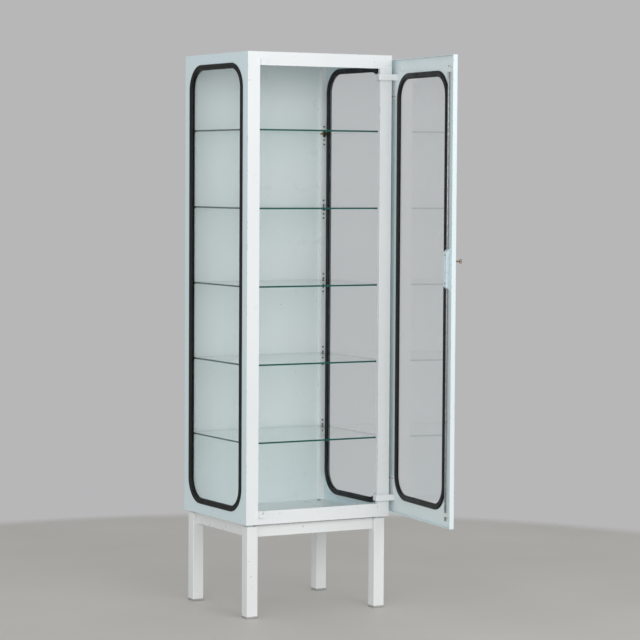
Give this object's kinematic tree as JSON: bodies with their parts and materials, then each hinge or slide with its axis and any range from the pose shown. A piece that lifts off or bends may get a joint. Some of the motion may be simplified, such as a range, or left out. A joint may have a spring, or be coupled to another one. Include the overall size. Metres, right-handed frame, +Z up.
{
  "type": "medical cabinet",
  "caption": "Tall glazed medical cabinet of white enamelled sheet steel on a square tube stand, with glass shelves and a single hinged glass door locked by rods.",
  "frame": {"origin": "on the floor, in the middle of the front left foot", "axes": "+Z up, -Y out of the open front, +X to the hinge side seen from the front"},
  "size_m": [0.5215, 0.8571, 1.717],
  "materials": {
    "white_enamel": "gloss",
    "black_rubber": "satin",
    "window_glass": "gloss",
    "shelf_glass": "gloss",
    "zinc_steel": "satin",
    "brass": "satin",
    "grey_plastic": "matte",
    "white_plastic": "satin"
  },
  "bodies": {
    "cabinet": {"apron_front": "white_enamel", "apron_left": "white_enamel", "apron_rear": "white_enamel", "apron_right": "white_enamel", "back_panel": "white_enamel", "bottom_rail": "white_enamel", "floor_panel": "white_enamel", "foot_front_left": "grey_plastic", "foot_front_right": "grey_plastic", "foot_rear_left": "grey_plastic", "foot_rear_right": "grey_plastic", "hinge_bracket_lower": "white_enamel", "hinge_bracket_upper": "white_enamel", "hinge_pin_lower": "zinc_steel", "hinge_pin_upper": "zinc_steel", "keeper_lower": "white_enamel", "keeper_upper": "white_enamel", "left_gasket": "black_rubber", "left_glass": "window_glass", "left_side_panel": "white_enamel", "left_stile": "white_enamel", "leg_front_left": "white_enamel", "leg_front_right": "white_enamel", "leg_rear_left": "white_enamel", "leg_rear_right": "white_enamel", "right_gasket": "black_rubber", "right_glass": "window_glass", "right_side_panel": "white_enamel", "right_stile": "white_enamel", "shelf_1": "shelf_glass", "shelf_2": "shelf_glass", "shelf_3": "shelf_glass", "shelf_4": "shelf_glass", "shelf_5": "shelf_glass", "shelf_pins": "brass", "stand_bolts": "zinc_steel", "stand_spacers": "zinc_steel", "standard_front_left": "white_enamel", "standard_front_right": "white_enamel", "standard_rear_left": "white_enamel", "standard_rear_right": "white_enamel", "top_panel": "white_enamel", "top_rail": "white_enamel"},
    "door": {"door_pan": "white_enamel", "door_rod_channel": "white_enamel", "door_glass": "window_glass", "door_gasket": "black_rubber", "hinge_arm_lower": "white_enamel", "hinge_arm_upper": "white_enamel", "hinge_screws": "zinc_steel", "lock_case": "zinc_steel", "lock_screws": "zinc_steel", "rod_guide_upper": "white_plastic", "rod_guide_lower": "white_plastic"},
    "lock": {"lock_pinion": "brass", "key": "brass"},
    "upper_rod": {"upper_rod": "zinc_steel"},
    "lower_rod": {"lower_rod": "zinc_steel"}
  },
  "joints": [
    {"name": "door_swing", "type": "hinge", "parent": "cabinet", "child": "door", "pos_m": [0.4455, 0.0015, 1.002], "axis": [0, 0, 1], "range_deg": [-84, 6]},
    {"name": "key_turn", "type": "hinge", "parent": "door", "child": "lock", "pos_m": [0.43476, -0.42119, 1.094], "axis": [0.9945, -0.1045, 0], "range_deg": [0, 135]},
    {"name": "upper_rod_slide", "type": "slide", "parent": "door", "child": "upper_rod", "axis": [0, 0, 1], "range_m": [0, 0.01413]},
    {"name": "lower_rod_slide", "type": "slide", "parent": "door", "child": "lower_rod", "axis": [0, 0, 1], "range_m": [-0.01414, 0]}
  ],
  "couplings": [
    {"joint": "key_turn", "follows": "upper_rod_slide", "rad_per_m": 166.67},
    {"joint": "lower_rod_slide", "follows": "upper_rod_slide", "ratio": -1}
  ]
}
